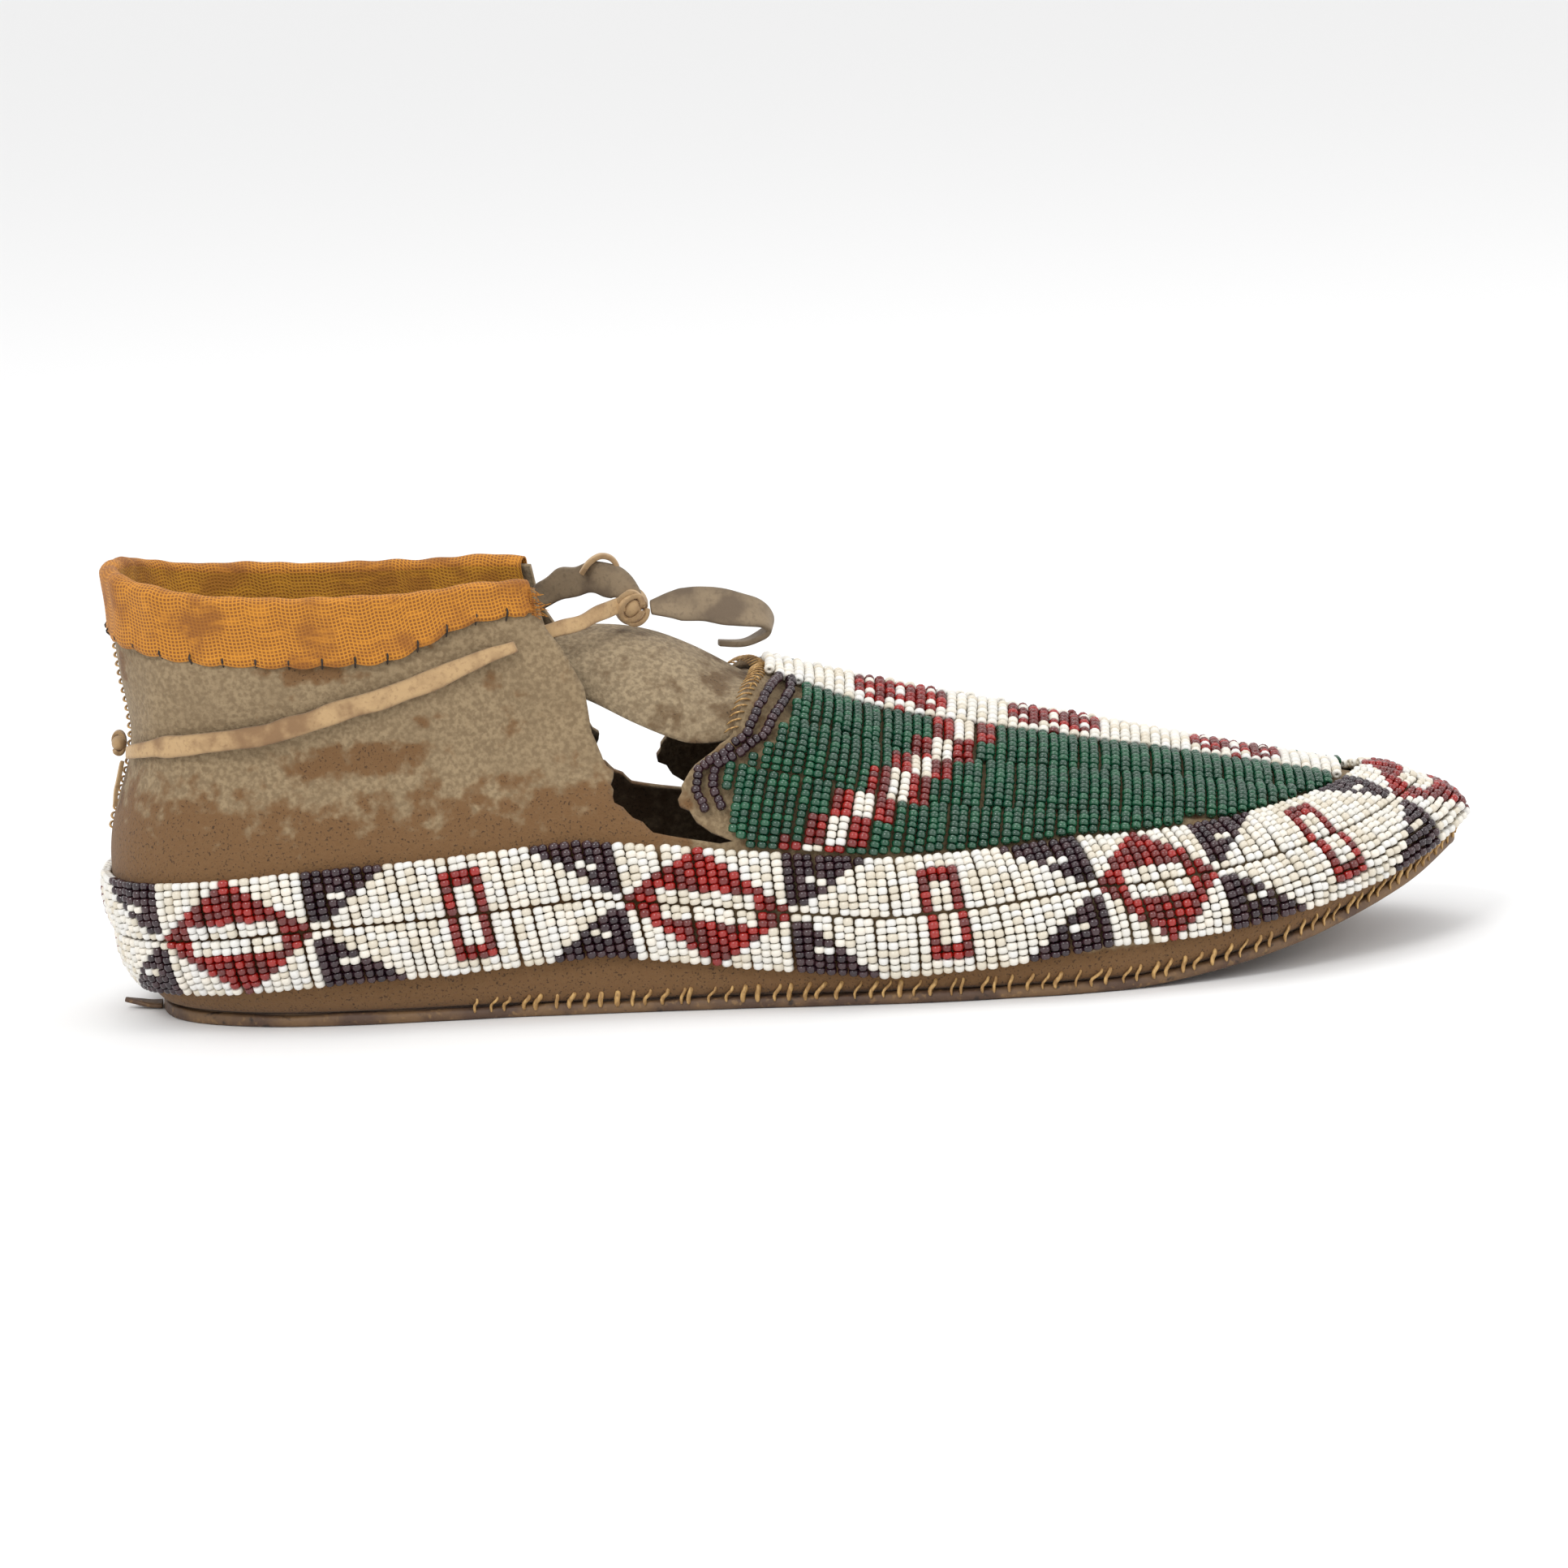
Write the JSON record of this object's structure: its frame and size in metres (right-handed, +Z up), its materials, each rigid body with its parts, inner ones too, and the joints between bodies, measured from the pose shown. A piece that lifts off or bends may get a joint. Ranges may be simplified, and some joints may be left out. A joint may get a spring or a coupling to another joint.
{
  "type": "beaded moccasin",
  "caption": "Beaded hide moccasin with a rawhide sole, sewn tongue, cloth-bound ankle and tied thong; open inside, with a hinged tongue and bow loops.",
  "frame": {"origin": "on the ground under the flat of the sole, at the middle of the shoe's length and width", "axes": "+X to the toe, +Y to the inner side (the far side in the picture), +Z up"},
  "size_m": [0.2613, 0.0851, 0.0846],
  "materials": {
    "hide": "smoked buckskin with a raised nap",
    "rawhide": "dark worn rawhide",
    "cloth": "plain-woven cotton, orange",
    "thong": "flat cut thong",
    "sinew": "sinew thread",
    "cotton_thread": "dark cotton thread",
    "white_beads": "opaque white glass beads",
    "green_beads": "dark green glass beads",
    "purple_beads": "dark purple glass beads",
    "red_beads": "red glass beads"
  },
  "bodies": {
    "shoe": {"ankle_binding": "cloth", "ankle_lace": "thong", "binding_inner_thread": "cotton_thread", "binding_outer_thread": "cotton_thread", "border_lane_lower": "white_beads", "border_lane_upper": "white_beads", "heel_seam_thread": "sinew", "heel_tie_knot": "thong", "lace_knot": "thong", "sole": "rawhide", "sole_seam_thread": "sinew", "throat_string_front": "purple_beads", "throat_string_rear": "purple_beads", "tongue_seam_thread": "sinew", "upper": "hide", "vamp_lane_centre": "white_beads", "vamp_lane_far_1": "green_beads", "vamp_lane_far_2": "green_beads", "vamp_lane_far_3": "green_beads", "vamp_lane_near_1": "green_beads", "vamp_lane_near_2": "green_beads", "vamp_lane_near_3": "green_beads"},
    "tongue": {"tongue": "hide"},
    "front_loop": {"bow_front_loop": "thong"},
    "small_loop": {"bow_small_loop": "thong"},
    "tie_tail": {"heel_tie_tail": "thong"},
    "tag": {"heel_tag": "rawhide"}
  },
  "joints": [
    {"name": "tongue_hinge", "type": "hinge", "parent": "shoe", "child": "tongue", "pos_m": [-0.004, -0.003, 0.0555], "axis": [0, 1, 0], "range_deg": [-12, 0], "stiffness_Nm_per_rad": 0.05},
    {"name": "front_loop_bend", "type": "hinge", "parent": "shoe", "child": "front_loop", "pos_m": [-0.027, -0.006, 0.0716], "axis": [0, -1, 0], "range_deg": [0, 55], "stiffness_Nm_per_rad": 0.004},
    {"name": "small_loop_bend", "type": "hinge", "parent": "shoe", "child": "small_loop", "pos_m": [-0.03, -0.0022, 0.0762], "axis": [0, 1, 0], "range_deg": [0, 35], "stiffness_Nm_per_rad": 0.002},
    {"name": "tie_tail_swing", "type": "hinge", "parent": "shoe", "child": "tie_tail", "pos_m": [-0.12374, -0.00181, 0.04754], "axis": [-0.406, 0.9139, 0], "range_deg": [0, 70]},
    {"name": "tag_bend", "type": "hinge", "parent": "shoe", "child": "tag", "pos_m": [-0.1204, 0, 0.0007], "axis": [0, 1, 0], "range_deg": [0, 25], "stiffness_Nm_per_rad": 0.002}
  ]
}
